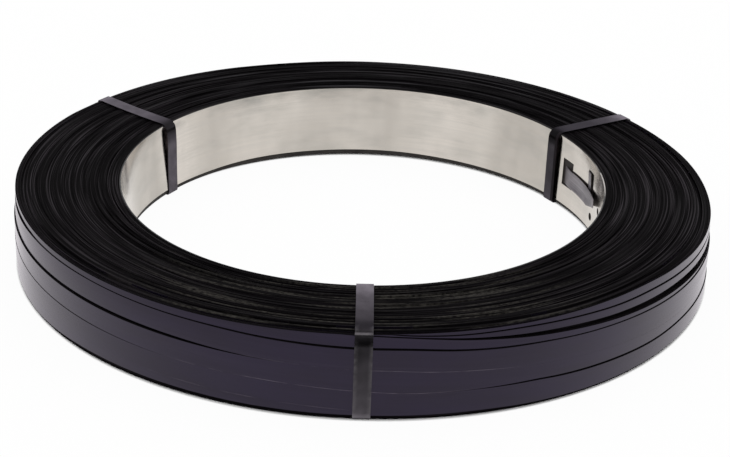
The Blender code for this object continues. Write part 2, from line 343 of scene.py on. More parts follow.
# Layers stand in groups of these sizes, drawn at these odds, from this far outside the winding on both sides
GROUP_SIZES = (1, 2, 3, 4, 5, 7, 9)
GROUP_ODDS = (0.12, 0.2, 0.2, 0.18, 0.14, 0.1, 0.06)
GROUP_MARGIN = 12.0
LAYER_JITTER = 0.00012
LAYER_WAVE = 0.00008

# A face of the winding is a side of the strap, not its edge, when its normal is nearly level and its area
# larger than an edge's; within the last distance of the bore it takes the painted shade below the hoop
LEVEL_NORMAL = 0.35
EDGE_AREA = 0.00001
BY_HOOP = 0.008


def layer_heights(seed, lift):
    """How far each layer's edge lies under the ring's face, for each layer and step round the ring."""
    rng = np.random.default_rng(seed)
    angles = np.radians(np.arange(FACE_STEPS) * 360.0 / FACE_STEPS)
    groups = []
    start = -GROUP_MARGIN
    while start < LAYERS + GROUP_MARGIN:
        groups.append((start, rng.uniform(0.0, 1.0) ** 1.4, rng.uniform(0, 2 * pi), rng.uniform(0, 2 * pi)))
        start += rng.choice(GROUP_SIZES, p=GROUP_ODDS)
    starts, bases, firsts, seconds = np.array(groups).T
    # The groups slide across the layers round the ring, and each sways up and down
    slide = 3.0 * np.sin(angles + 0.7) + 1.4 * np.sin(2 * angles + 2.1)
    at = np.searchsorted(starts, np.arange(LAYERS)[:, None] + slide, side="right") - 1
    sway = 0.5 + 0.28 * np.sin(angles + firsts[at]) + 0.22 * np.sin(2 * angles + seconds[at])
    heights = lift * bases[at] * (0.45 + 0.75 * sway)
    jitter = rng.uniform(0.0, 1.0, (LAYERS, 1))
    wave = rng.uniform(0, 2 * pi, (LAYERS, 1))
    heights += LAYER_JITTER * jitter + LAYER_WAVE * np.sin(3 * angles + wave)
    return sum(np.roll(heights, shift, axis=1) for shift in (-2, -1, 0, 1, 2)) / 5.0


def layer_ring(name, index, top_heights, foot_heights, paint, edges, inner_shade):
    """One nested ring of the winding: every layer's edge stands on its top and on its foot."""
    inner = DRAWN_BORE + index * RING_LAYERS * PITCH
    across = [inner + RING_INSET]
    for layer in range(RING_LAYERS):
        start = inner + layer * PITCH
        left = start + (PITCH - FLAT) / 2
        across += [start, left, left + FLAT] if layer else [left, left + FLAT]
    across.append(inner + RING_LAYERS * PITCH - RING_INSET)
    profile = [(radius, FACE) for radius in across]
    profile += [(across[-1], FACE * share) for share in (0.75, 0.5, 0.25)]
    profile += [(radius, 0.0) for radius in across[::-1]]
    profile += [(across[0], FACE * share) for share in (0.25, 0.5, 0.75)]
    piece = make_piece(name, spun(profile, FACE_STEPS), (edges, paint, inner_shade))
    mesh = piece.data
    points = read(mesh.vertices, "co")
    angle, radius = polar(points)
    height = points[:, 2].copy()
    step = np.round(angle * FACE_STEPS / 360.0).astype(int) % FACE_STEPS
    depth = (radius - DRAWN_BORE) / PITCH
    low, high = (np.clip(np.floor(depth + aside).astype(int), 0, LAYERS - 1) for aside in (-0.1, 0.1))
    in_groove = (low != high) | (np.abs(depth - np.round(depth)) < 0.15)
    for level, table, sign in ((FACE, top_heights, -1.0), (0.0, foot_heights, 1.0)):
        here = np.abs(height - level) < HAIR
        drop = np.maximum(table[low[here], step[here]], table[high[here], step[here]])
        height[here] += sign * (drop + np.where(in_groove[here], GROOVE, 0.0))
    share = depth / LAYERS
    fall = np.maximum(0.0, length_at(angle, RIM_DROP) - LEVEL_DROP)
    near_top = height > FACE / 2
    shoulder = np.clip((share - SHOULDER_START) / (1.0 - SHOULDER_START), 0.0, 1.0)
    height[near_top] -= (fall * shoulder)[near_top]
    inner_face = bore(angle, height) + HOOP_SHEET + AIR
    outer_face = wall(angle, height) - OUTER_TURNS_DEPTH
    move_points(mesh, angle, inner_face + share * (outer_face - inner_face), height)
    mark_points(mesh, "lay", lay_out(angle, LAY_RADIUS, radius))
    upright = np.abs(read(mesh.polygons, "normal")[:, 2]) < LEVEL_NORMAL
    large = read(mesh.polygons, "area", 1) > EDGE_AREA
    by_hoop = polar(read(mesh.polygons, "center"))[1] < BORE + BY_HOOP
    choose_finish(mesh, np.where(upright & large, np.where(by_hoop, 2, 1), 0))
    mesh.set_sharp_from_angle(angle=radians(40))
    settle(piece, "strap_coil")


# The wall's rows are drawn as points one step under another at this radius, and then put in their places
DRAWN_WALL = 0.3
DRAWN_STEP = 0.001
BODY_SHARES = (0.0, 0.03, 0.2, 0.5, 0.8, 0.97, 1.0)
# How far apart the rows lie across in the finishes' place vector
LAY_ROW = 0.02


def outer_turns(paint, edges):
    """The outermost turns: rows of strap on the wall, side by side, each in or out of its neighbours."""
    rows = len(ROW_DEPTHS)
    marks = []
    for row in range(rows):
        if row:
            marks += [(row, "gap_top", 0.0), (row, "gap_foot", 1.0)]
        marks.append((row, "upper", 0.0))
        marks += [(row, "body", share) for share in BODY_SHARES]
        marks.append((row, "lower", 1.0))
    marks += [(rows, "foot", share) for share in (0.3, 0.6, 1.0)]
    marks += [(0, "top", share) for share in (1.0, 0.6, 0.3)]
    profile = []
    for number, (_, kind, share) in enumerate(marks):
        back = share if kind in ("foot", "top") else 0.0
        profile.append((DRAWN_WALL - 0.01 * back, -DRAWN_STEP * (number + 1)))
    piece = make_piece("outer_turns", spun(profile, WALL_STEPS), (paint, edges))
    mesh = piece.data
    points = read(mesh.vertices, "co")
    angle, _ = polar(points)
    which = np.round(-points[:, 2] / DRAWN_STEP).astype(int) - 1
    radius, height, across, worn_and_lit, level = np.zeros((5, len(points)))
    rim = FACE - length_at(angle, RIM_DROP)
    seams = [rim] + [length_at(angle, seam) for seam in SEAMS] + [length_at(angle, FOOT_EDGE), level - HAIR]
    for row in range(1, len(seams)):
        seams[row] = np.minimum(seams[row], seams[row - 1] - HAIR)
    gaps = [level] + [length_at(angle, gap) for gap in SEAM_GAPS] + [level + HAIR, level]
    for row in range(1, len(seams) - 1):
        room = np.minimum(seams[row - 1] - seams[row], seams[row] - seams[row + 1])
        gaps[row] = np.minimum(gaps[row], GAP_SHARE * room)
    cuts = [np.minimum(EDGE_CUT, EDGE_CUT_SHARE * gap) for gap in gaps]
    cuts[0] = cuts[-2] = cuts[-1] = level + EDGE_CUT
    depths = [length_at(angle, depth) for depth in ROW_DEPTHS]
    for number, (row, kind, share) in enumerate(marks):
        here = which == number
        if kind in ("top", "foot"):
            at_top = kind == "top"
            height[here] = (rim if at_top else seams[-1])[here] + 2 * HAIR * (-1.0 if at_top else share)
            near = depths[0 if at_top else -1][here]
            depth = near + (OUTER_TURNS_DEPTH + BACK_GAP - near) * share
            across[here] = (DRAWN_WALL if at_top else 0.0) - depth
        elif kind in ("gap_top", "gap_foot"):
            side = 0.5 if kind == "gap_top" else -0.5
            height[here] = (seams[row] + side * gaps[row])[here]
            back = np.maximum(depths[row - 1], depths[row]) + cuts[row]
            back = back + np.minimum(GAP_DEPTH * gaps[row], GAP_DEEPEST)
            depth = np.minimum(back, OUTER_TURNS_DEPTH - BACK_GAP)[here]
        else:
            upper = (seams[row] - 0.5 * gaps[row])[here]
            lower = (seams[row + 1] + 0.5 * gaps[row + 1])[here]
            upper_cut, lower_cut = (np.minimum(cut[here], (upper - lower) / 3) for cut in cuts[row:row + 2])
            if kind == "body":
                height[here] = upper - upper_cut + (lower - upper + upper_cut + lower_cut) * share
                depth = depths[row][here]
            else:
                height[here] = upper if kind == "upper" else lower
                depth = depths[row][here] + (upper_cut if kind == "upper" else lower_cut)
            across[here] = row * LAY_ROW + upper - height[here]
            # Worn paint, partly painted highlight, along the rim and the rows' lower edges
            if share == 1.0:
                worn_and_lit[here] = around(angle[here], WEAR_AND_HIGHLIGHT[row + 1]) if row + 1 < len(WEAR_AND_HIGHLIGHT) else 0.0
            elif row == 0 and share == 0.0:
                worn_and_lit[here] = around(angle[here], WEAR_AND_HIGHLIGHT[0])
        radius[here] = wall(angle[here], height[here]) - depth
    move_points(mesh, angle, radius, height)
    mark_points(mesh, "lay", lay_out(angle, LAY_RADIUS, across))
    mark_points(mesh, "wear_and_highlight", worn_and_lit)
    # The level faces, the turns under the lowest row and the gaps' backs are dark edges, the last two partly
    # as painted shade; the rest is painted
    in_foot = np.array([mark[0] >= rows - 1 for mark in marks])[which]
    in_gap = np.array([mark[1] in ("gap_top", "gap_foot") for mark in marks])[which]
    ends = np.empty(len(mesh.polygons) * 4, np.int32)
    mesh.polygons.foreach_get("vertices", ends)
    dark = np.abs(read(mesh.polygons, "normal")[:, 2]) > 0.5
    for hidden in (in_foot, in_gap):
        dark |= hidden[ends.reshape(-1, 4)].all(axis=1)
    choose_finish(mesh, dark)
    mesh.set_sharp_from_angle(angle=radians(30))
    settle(piece, "strap_coil")


# The hoop

# The hoop is cut flat, with its length along X and its height along Y, and then rolled up
ARC = BORE * pi / 180.0
HOOP_STEPS = 360
HOOP_ROWS = 8
WINDOW = (113.5, 118.3, 0.0215, 0.0465)
SLOT = (100.4, 102.1, 0.0350, 0.0552)
SLIT = (104.0, 104.4, 0.0350, 0.0552)
# The tongue between them is free at its top and bent into the bore from its foot
TONGUE = (102.1, 104.0, 0.0350, 0.0542)
TONGUE_LIFT = 0.0011
TONGUE_BEND = 1.3
ROUND_HOLES = ((101.2, 0.0154), (94.5, 0.0304))
HOLE_RADIUS = 0.0034
HOLE_SIDES = 12
# How far beyond an opening's and a hole's sides the sheet's faces are cut, along and across it
OPENING_REACH = (0.006, 0.012)
HOLE_REACH = (0.002, 0.005)


def cut_flat(work, middle, reach, planes):
    """Cuts the flat sheet's faces near a middle point along each plane of (point, direction)."""
    for point, direction in planes:
        faces = [face for face in work.faces
                 if abs(face.calc_center_median().x - middle[0]) < reach[0]
                 and abs(face.calc_center_median().y - middle[1]) < reach[1]]
        near = set(faces)
        for face in faces:
            near.update(face.edges)
            near.update(face.verts)
        bmesh.ops.bisect_plane(work, geom=list(near), dist=0.0000002, plane_co=point, plane_no=direction)


def take_out(work, inside):
    """Takes out the faces whose middle is inside an opening."""
    faces = [face for face in work.faces if inside(face.calc_center_median())]
    bmesh.ops.delete(work, geom=faces, context="FACES")


def cut_opening(work, first, last, foot, top):
    """An opening between two angles and two heights in the flat sheet."""
    left, right = first * ARC, last * ARC
    middle = ((left + right) / 2, (foot + top) / 2)
    reach = ((right - left) / 2 + OPENING_REACH[0], (top - foot) / 2 + OPENING_REACH[1])
    planes = [((side, 0, 0), (1, 0, 0)) for side in (left, right)]
    planes += [((0, side, 0), (0, 1, 0)) for side in (foot, top)]
    cut_flat(work, middle, reach, planes)
    take_out(work, lambda point: left < point.x < right and foot < point.y < top)


def cut_hole(work, angle, height):
    """A round hole in the flat sheet."""
    middle = Vector((angle * ARC, height, 0.0))
    planes = []
    for side in range(HOLE_SIDES):
        turn = 2 * pi * side / HOLE_SIDES
        square = Vector((cos(turn), sin(turn), 0.0))
        planes.append((middle + HOLE_RADIUS * square, square))
    cut_flat(work, middle, [HOLE_RADIUS + beyond for beyond in HOLE_REACH], planes)
    take_out(work, lambda point: (point - middle).length < HOLE_RADIUS * 0.99)


def roll(work, radius_of, foot_line=None):
    """Rolls the flat sheet up into the bore, its X to the angle and its Y to the height."""
    for vertex in work.verts:
        angle, height = vertex.co.x / ARC, vertex.co.y
        if foot_line:
            share = max(0.0, 1.0 - (height - HOOP_FOOT_RISE) / HOOP_FOOT_BLEND)
            height += share * (length_at(angle, foot_line) - HOOP_FOOT_RISE)
        vertex.co = place(angle, radius_of(angle, height), FOOT + height)


def thicken(work, thickness, outward=True, middle=0.0):
    """Gives a sheet its thickness, outwards from a middle or inwards, and turns the faces outwards."""
    bmesh.ops.recalc_face_normals(work, faces=work.faces)
    middle = Vector((middle, 0.0))
    looking_out = [face for face in work.faces
                   if face.normal.xy.dot(face.calc_center_median().xy - middle) > 0]
    faces_out = 2 * len(looking_out) > len(work.faces)
    bmesh.ops.solidify(work, geom=work.faces[:], thickness=-thickness if faces_out == outward else thickness)
    bmesh.ops.recalc_face_normals(work, faces=work.faces)


def tongue_lift(angle, height):
    """How far the tongue is bent into the bore."""
    first, last, foot, top = TONGUE
    if first - 0.01 <= angle <= last + 0.01 and foot <= height <= top + HAIR:
        return TONGUE_LIFT * ((height - foot) / (top - foot)) ** TONGUE_BEND
    return 0.0


def core_hoop(steel, rim, greyed):
    """The hoop with its window, its slots and tongue, and its holes."""
    foot, top = HOOP_FOOT_RISE, FACE - HOOP_TOP_DROP
    work = flat_grid(HOOP_STEPS, HOOP_ROWS, 360.0 * ARC, top - foot)
    bmesh.ops.translate(work, verts=work.verts, vec=(180.0 * ARC, (top + foot) / 2, 0.0))
    first, last, low, high = TONGUE
    for opening in (WINDOW, SLOT, SLIT, (first, last, high, SLOT[3])):
        cut_opening(work, *opening)
    folds = [((0, low + (high - low) * share, 0), (0, 1, 0)) for share in (0.2, 0.4, 0.6, 0.8)]
    middle = ((first + last) / 2 * ARC, (low + high) / 2)
    cut_flat(work, middle, ((last - first) * ARC, (high - low) / 2), folds)
    for angle, height in ROUND_HOLES:
        cut_hole(work, angle, height)
    roll(work, lambda angle, height: bore(angle, height) - tongue_lift(angle, height), HOOP_FOOT)
    bmesh.ops.remove_doubles(work, verts=work.verts, dist=SAME_POINT)
    thicken(work, HOOP_SHEET)
    piece = make_piece("core_hoop_sheet", work, (steel, rim, greyed), 30)
    middles = read(piece.data.polygons, "center")
    angle, _ = polar(middles)
    height = middles[:, 2] - FOOT
    on_tongue = (angle > first) & (angle < last) & (height > low) & (height < high)
    level = np.abs(read(piece.data.polygons, "normal")[:, 2]) > 0.7
    # The tongue takes the strap end's grey, darker than the hoop's steel, as painted shade
    choose_finish(piece.data, np.where(on_tongue, 2, level))
    settle(piece, "core_hoop")


# The strap's inner end, which comes through the window and lies along the hoop

END_ROOT = 117.9
END_CREST = 113.2
END_TIP = 96.0
END_FOOT = 0.0232
END_SNIP = 103.2
END_SNIP_RISE = 0.0085
END_STEPS = 60
END_ROWS = 6
# How far the sheet's outer side lies behind the hoop's inner face at its root, and in front of it further on
END_ROOT_DEPTH = 0.0022
END_CREST_STAND = 0.0010
END_TIP_STAND = 0.0031


def end_stand(angle):
    """How far the strap's inner end stands off the hoop, inwards."""
    if angle > END_CREST:
        share = (END_ROOT - angle) / (END_ROOT - END_CREST)
        return -END_ROOT_DEPTH + (END_CREST_STAND + END_ROOT_DEPTH) * sin(share * pi / 2)
    share = (END_CREST - angle) / (END_CREST - END_TIP)
    return END_CREST_STAND + (END_TIP_STAND - END_CREST_STAND) * share ** 2


def strap_end(greyed):
    """The strap's inner end, drawn flat like the hoop, with its slanting cut, and rolled up."""
    work = flat_grid(END_STEPS, END_ROWS, 1.0, 1.0)
    for vertex in work.verts:
        angle = END_TIP + (END_ROOT - END_TIP) * (vertex.co.x + 0.5)
        snip = END_SNIP_RISE * max(0.0, (END_SNIP - angle) / (END_SNIP - END_TIP))
        share = vertex.co.y + 0.5
        vertex.co = (angle * ARC, END_FOOT + snip + (STRAP - snip) * share, 0.0)
    roll(work, lambda angle, height: bore(angle, height) - end_stand(angle))
    thicken(work, SHEET, outward=False)
    settle(make_piece("strap_end", work, (greyed,), 30), "strap_coil")


# The ties

TIE_WIDTH = 0.0127
TIE_SHEET = 0.0006
TIE_ROWS = 4
TIE_STEP = 0.004
# How far from its corner a bend starts, and how many steps it takes; the bend over the hoop's rim is wider
# where the leg stands off, in full at this stand
TIE_BEND = 0.0022
TIE_BEND_STEPS = 7
RIM_BEND = 0.0065
RIM_BEND_STAND = 0.0026
# The leg's corners by their share of the height, and how its stand grows up to the last of them
LEG_SHARES = (0.12, 0.3, 0.5, 0.7)
LEG_CURVE = 1.3
# From the rim a tie runs straight down to the wall's widest surface at the first height, and on from row to
# row down to the last, and it stands off a row by so much before it bends in
LEAN_FOOT = 0.0562
ROW_HEIGHTS = (0.050, 0.040, 0.028, 0.014)
FOOT_ROW_HEIGHT = 0.003
ROW_SAG = 0.0004
# A tie turns from its angle at the bore to the one at the wall over this depth
TURN_DEPTH = 0.082
# How far under the rim the two top rows are measured
TOP_ROWS_DOWN = (0.0012, 0.0023)
# Each tie's angle at the bore and at the wall, and how far its leg stands off the hoop at the foot and on top
TIES = {
    "tie_front": (1.6, 1.25, 0.0, 0.0004),
    "tie_back_right": (122.6, 122.6, 0.0015, 0.0022),
    "tie_back_left": (-119.4, -122.6, 0.0, 0.0023),
}
# Painted light and shade along each tie's run: how bright its steel is made at each place, as along_tie()
# tells it
TIE_LIGHT_AND_SHADE = {
    "tie_front": (
        (0, 0.09), (0.9, 0.09), (1, 0.21), (1.2, 0.125), (1.4, 0.07), (1.6, 0.055), (1.7, 0.037),
        (1.8, 0.012), (1.92, 0.01), (2, 0.09), (2.08, 0.018), (2.16, 0.016), (2.22, 0.017), (2.28, 0.025),
        (2.35, 0.029), (2.51, 0.028), (2.62, 0.041), (2.8, 0.044), (2.85, 0.05), (2.93, 0.07),
        (2.965, 0.14), (3, 0.06)),
    "tie_back_right": (
        (0, 0.075), (0.1, 0.05), (0.3, 0.037), (0.79, 0.036), (0.85, 0.006), (1, 0.003), (1.2, 0.018),
        (1.5, 0.018), (1.7, 0.05), (1.8, 0.08), (1.9, 0.2), (2, 0.2), (2.1, 0.05)),
    "tie_back_left": (
        (0, 0.09), (0.7, 0.087), (0.8, 0.05), (0.88, 0.02), (1, 0.012), (1.15, 0.07), (1.3, 0.09),
        (1.6, 0.1), (1.85, 0.115), (1.95, 0.16), (2.1, 0.05)),
}
# The radius in the middle of the section, the one within which the leg lies, and the one beyond which the
# run down the wall does
SECTION_MIDDLE = 0.245
LEG_REACH = 0.2055
WALL_START = 0.27
# This tie's leg has painted shade along one side, from this height above the floor upwards
SHADED_TIE = "tie_back_right"
SHADE_FOOT = 0.002
# How much the wall's run is rubbed along its edges, and how much painted highlight it takes at the bend over
# the rim and at the fold underneath, and how far these three reach
RUB_EDGE, BEND_HIGHLIGHT, FOLD_HIGHLIGHT = 0.35, 0.6, 0.4
EDGE_REACH, BEND_REACH, BEND_DOWN, FOLD_UP = 0.0002, 0.0012, 0.0026, 0.0036


def clamped(value):
    """A share held between 0 and 1."""
    return min(1.0, max(0.0, value))


def rounded(corners, steps):
    """A closed path through corners of (point, reach), each rounded off within its reach on both sides."""
    path = []
    for index, (corner, reach) in enumerate(corners):
        before = corners[index - 1][0]
        after = corners[(index + 1) % len(corners)][0]
        start = corner + (before - corner) * min(0.45, reach / (before - corner).length)
        end = corner + (after - corner) * min(0.45, reach / (after - corner).length)
        for step in range(steps + 1):
            share = step / steps
            path.append(start * (1 - share) ** 2 + corner * 2 * share * (1 - share) + end * share ** 2)
    return path


def fill_in(path, step):
    """The same closed path with more points along its straight runs, none further apart than a step."""
    filled = []
    for index, point in enumerate(path):
        before = path[index - 1]
        parts = int((point - before).length / step) + 1
        filled += [before.lerp(point, (part + 1) / parts) for part in range(parts)]
    return filled


def along_tie(radius, height, inner, outer):
    """Where a point of a tie lies: 0 to 1 up the leg, to 2 across the top, to 3 down the wall, to 4 below."""
    up = clamped(height / FACE)
    out = clamped((radius - inner) / (outer - inner))
    return min((abs(radius - inner), up), (abs(height - FACE), 1.0 + out),
               (abs(radius - outer), 3.0 - up), (abs(height), 4.0 - out))[1]


def row_radius(angle, height, row_height=None):
    """The radius of the wall's row of strap at an angle and a height."""
    return float(wall(angle, height)) - row_depth(angle, height if row_height is None else row_height)


def tie_rim(at_wall):
    """The radius of the outermost of the wall's top rows."""
    return max(row_radius(at_wall, FACE - down) for down in TOP_ROWS_DOWN)


def tie_section(at_bore, at_wall, foot_stand, stand):
    """A tie's inner side round the ring's section, as corners of ((radius, height above the foot), reach)."""
    corners = [(bore(at_bore, 0.0) - AIR - foot_stand, -AIR, TIE_BEND)]
    for share in LEG_SHARES:
        height = FACE * share
        off = AIR + foot_stand + (stand - foot_stand) * (share / LEG_SHARES[-1]) ** LEG_CURVE
        corners.append((bore(at_bore, height) - off, height, 0.004))
    reach = TIE_BEND + RIM_BEND * stand / RIM_BEND_STAND
    corners.append((bore(at_bore, FACE) - AIR - stand, FACE + AIR, reach))
    drop = length_at(at_wall, RIM_DROP)
    last_turns = wall(at_wall, FACE) - OUTER_TURNS_DEPTH
    corners.append((last_turns - HAIR, FACE + AIR, 0.0003))
    corners.append((last_turns + 0.9 * drop, FACE + AIR - drop, 0.0003))
    corners.append((tie_rim(at_wall) + AIR, FACE + AIR - drop, 0.0025))
    last = float(wall(at_wall, LEAN_FOOT)) - HAIR
    corners.append((last + AIR, LEAN_FOOT, 0.004))
    for height in ROW_HEIGHTS:
        reach = row_radius(at_wall, height)
        corners.append((max(reach, last) + AIR, height, 0.002))
        last = min(max(reach, last), reach + ROW_SAG)
    corners.append((row_radius(at_wall, 0.0, FOOT_ROW_HEIGHT) + AIR, -AIR, TIE_BEND))
    return [(Vector((radius, height)), reach) for radius, height, reach in corners]


def tie(name, at_bore, at_wall, foot_stand, stand, steel, leg_shade):
    """A tie round the section: a band drawn along its path, given its thickness and turned to its angles."""
    path = fill_in(rounded(tie_section(at_bore, at_wall, foot_stand, stand), TIE_BEND_STEPS), TIE_STEP)
    work = bmesh.new()
    _, edges = closed_loop(work, [(point.x, -TIE_WIDTH / 2, point.y) for point in path])
    for _ in range(TIE_ROWS):
        made = bmesh.ops.extrude_edge_only(work, edges=edges)
        edges = made_of(made, bmesh.types.BMEdge)
        verts = made_of(made, bmesh.types.BMVert)
        bmesh.ops.translate(work, verts=verts, vec=(0.0, TIE_WIDTH / TIE_ROWS, 0.0))
    thicken(work, TIE_SHEET, middle=SECTION_MIDDLE)
    inner, outer = radians(at_bore), radians(at_wall)
    # Painted light and shade along the run
    light_and_shade = []
    places, brightness = zip(*TIE_LIGHT_AND_SHADE[name])
    for vertex in work.verts:
        radius, across, height = vertex.co
        place_along = along_tie(radius, height, float(bore(at_bore, height)), float(wall(at_wall, height)))
        light_and_shade.append(np.interp(place_along, places, brightness))
        turn = inner + (outer - inner) * clamped((radius - BORE) / TURN_DEPTH)
        out = Vector((sin(turn), -cos(turn), 0.0))
        side = Vector((cos(turn), sin(turn), 0.0))
        vertex.co = radius * out + across * side + Vector((0.0, 0.0, FOOT + height))
    piece = make_piece(name + "_band", work, (steel, leg_shade), 25)
    mesh = piece.data
    # One side of this tie's leg takes the painted shade
    if name == SHADED_TIE:
        middles = read(mesh.polygons, "center")
        aside = middles[:, 0] * cos(inner) + middles[:, 1] * sin(inner)
        on_leg = (polar(middles)[1] < LEG_REACH) & (middles[:, 2] > SHADE_FOOT)
        choose_finish(mesh, on_leg & (aside < -TIE_WIDTH / 4))
    points = read(mesh.vertices, "co")
    across = points[:, 0] * cos(outer) + points[:, 1] * sin(outer)
    _, away = polar(points)
    at_wall_run = away > WALL_START
    middle = 0.5 * (across[at_wall_run].min() + across[at_wall_run].max())
    # Rubbed edges, and painted highlights at the bend over the rim and the fold underneath
    edge = (np.abs(across - middle) > TIE_WIDTH / 2 - EDGE_REACH) & at_wall_run
    bend = (away > tie_rim(at_wall) - BEND_REACH) & (points[:, 2] > TOP - BEND_DOWN)
    fold = at_wall_run & (points[:, 2] < FOLD_UP)
    mark_points(mesh, "rub_and_highlight", np.maximum(RUB_EDGE * edge, BEND_HIGHLIGHT * bend + FOLD_HIGHLIGHT * fold))
    mark_points(mesh, "light_and_shade", light_and_shade)
    settle(piece, name)


# Materials: a finish is built up from sockets, and each socket knows its own node tree


def feed(node, name, value):
    """Gives a node's input a number, a vector, a colour or what a socket gives out."""
    socket = node.inputs[name]
    if isinstance(value, bpy.types.NodeSocket):
        socket.id_data.links.new(value, socket)
    else:
        socket.default_value = (*value, 1.0) if socket.type == "RGBA" else value


def add_node(near, kind, inputs, **settings):
    """A node in the tree of a shader or a socket, with its settings and its inputs by name or number."""
    node = near.id_data.nodes.new("ShaderNode" + kind)
    for name, value in settings.items():
        setattr(node, name, value)
    for socket, value in inputs.items():
        feed(node, socket, value)
    return node.outputs


def new_material(name, colour, metallic, roughness, specular, tint=(1.0, 1.0, 1.0)):
    """A material and its shader."""
    made = bpy.data.materials.new(name)
    made.use_nodes = True
    shader = made.node_tree.nodes["Principled BSDF"]
    names = ("Base Color", "Metallic", "Roughness", "Specular IOR Level", "Specular Tint")
    for name, value in zip(names, (colour, metallic, roughness, specular, tint)):
        feed(shader, name, value)
    return made, shader


def point_mark(shader, name, output="Fac"):
    """What mark_points() kept with the points."""
    return add_node(shader, "Attribute", {}, attribute_name=name)[output]


def object_place(shader):
    """The place vector of a point in the scene."""
    return add_node(shader, "TexCoord", {})["Object"]


def grain(spot, scale, detail=2, offset=(0, 0, 0)):
    """Noise on a place vector, with its own scale each way."""
    mapped = add_node(spot, "Mapping", {"Vector": spot, "Scale": scale, "Location": offset})["Vector"]
    return add_node(spot, "TexNoise", {"Vector": mapped, "Scale": 1.0, "Detail": detail})["Fac"]


def span(source, low, high, to_low=0.0, to_high=1.0):
    """Maps a value's range to another, held at both ends."""
    return add_node(source, "MapRange", {"Value": source, "From Min": low, "From Max": high,
                                         "To Min": to_low, "To Max": to_high})["Result"]


def pattern(spot, scale, low, high, detail=2, offset=(0, 0, 0), to=(0, 1)):
    """Noise, with its values from low to high spread over another range."""
    return span(grain(spot, scale, detail, offset), low, high, *to)


def reckon(operation, first, second):
    """What an operation makes of two sockets, or of a socket and a value."""
    return add_node(first, "Math", {0: first, 1: second}, operation=operation)["Value"]


def times(first, *others):
    """The product of sockets, or of sockets and values."""
    for other in others:
        first = reckon("MULTIPLY", first, other)
    return first


def blend(factor, first, second):
    """A colour between two, each given as numbers or a socket."""
    return add_node(factor, "Mix", {0: factor, 6: first, 7: second}, data_type="RGBA")[2]


def part_of(vector, number):
    """One of a vector's three values."""
    return add_node(vector, "SeparateXYZ", {"Vector": vector})[number]


def emboss(shader, source, distance, strength):
    """Raises the surface by a source's values."""
    bumped = add_node(source, "Bump", {"Strength": strength, "Distance": distance, "Height": source})
    feed(shader, "Normal", bumped["Normal"])


def strap_paint():
    """Black waxed paint with a lilac cast, fine drawn lines along the strap and edges rubbed to the steel,
    partly as painted highlight.
    """
    made, shader = new_material("black_waxed_paint", (0.004, 0.003, 0.007), 0.0, 0.16, 1.0,
                                (0.17, 0.125, 0.27))
    feed(shader, "Coat Weight", 0.3)
    feed(shader, "Coat Roughness", 0.16)
    feed(shader, "Coat Tint", (1.0, 0.87, 1.0))
    lay = point_mark(shader, "lay", "Vector")
    clouds = pattern(lay, (14, 14, 60), 0.35, 0.7)
    lines = pattern(lay, (5, 5, 1600), 0.5, 0.8, 3)
    colour = blend(clouds, (0.0040, 0.0034, 0.0042), (0.0062, 0.0048, 0.0115))
    colour = blend(times(lines, 0.4), colour, (0.020, 0.018, 0.024))
    broken = pattern(lay, (70, 70, 40), 0.38, 0.62, 3, (3, 0, 0))
    # Paint greyed where it is worn, partly as painted highlight
    greyed = times(point_mark(shader, "wear_and_highlight"), broken)
    feed(shader, "Base Color", blend(greyed, colour, (0.14, 0.127, 0.14)))
    rough = pattern(lay, (9, 9, 260), 0.3, 0.7, 3, (0, 5, 0), (0.11, 0.24))
    feed(shader, "Roughness", reckon("ADD", rough, times(greyed, 0.2)))
    emboss(shader, grain(lay, (3, 3, 700), 2, (0, 0, 0.4)), 0.00002, 0.5)
    return made


def strap_edges():
    """The slit edges of the strap, side by side on the ring's faces: near black, with paler streaks and
    specks at the front, paler patches at the back, and a painted highlight on the fine lines at the sides.
    """
    made, shader = new_material("slit_strap_edges", (0.004, 0.004, 0.004), 0.0, 0.5, 0.008)
    lay = point_mark(shader, "lay", "Vector")
    to_front = part_of(lay, 1)
    fine = pattern(lay, (9, 9, 1350), 0.50, 0.68, 1)
    broad = pattern(lay, (5, 5, 170), 0.38, 0.62, 2, (4, 0, 0), (0.25, 1))
    # Painted highlight: the fine lines grow paler towards the left and right sides
    side_highlight = span(reckon("ABSOLUTE", part_of(lay, 0), 0.0), 0.06, 0.235, 0.3, 1.0)
    colour = blend(times(fine, broad, side_highlight), (0.0028, 0.0023, 0.0028), (0.037, 0.032, 0.037))
    streaks = pattern(lay, (11, 11, 330), 0.50, 0.62, 2, (2, 0, 7))
    specks = pattern(lay, (300, 300, 700), 0.30, 0.62, 3)
    at_front = span(to_front, -0.18, -0.23)
    # The paler streaks and specks go on the winding's and the rim's edges, which carry a radius across; those
    # of the wall and the foot get none
    on_top = span(part_of(lay, 2), 0.165, 0.175)
    colour = blend(times(streaks, specks, at_front, on_top), colour, (0.042, 0.039, 0.035))
    bright = pattern(lay, (6, 6, 260), 0.56, 0.66, 2, (5, 1, 3))
    colour = blend(times(bright, span(to_front, 0.15, 0.22)), colour, (0.034, 0.032, 0.035))
    feed(shader, "Base Color", colour)
    feed(shader, "Roughness", span(fine, 0.0, 1.0, 0.6, 0.35))
    emboss(shader, grain(lay, (60, 60, 1400), 3, (0, 3, 0)), 0.0001, 0.5)
    return made


def strap_inner_shade():
    """Painted shade on the innermost turn below the hoop's foot: a dull, dark brown-grey."""
    made, shader = new_material("inner_turn_painted_shade", (0.042, 0.038, 0.036), 0.0, 0.5, 0.1)
    clouds = pattern(object_place(shader), (70, 70, 160), 0.35, 0.65, 3)
    feed(shader, "Base Color", blend(clouds, (0.033, 0.029, 0.028), (0.050, 0.046, 0.043)))
    return made


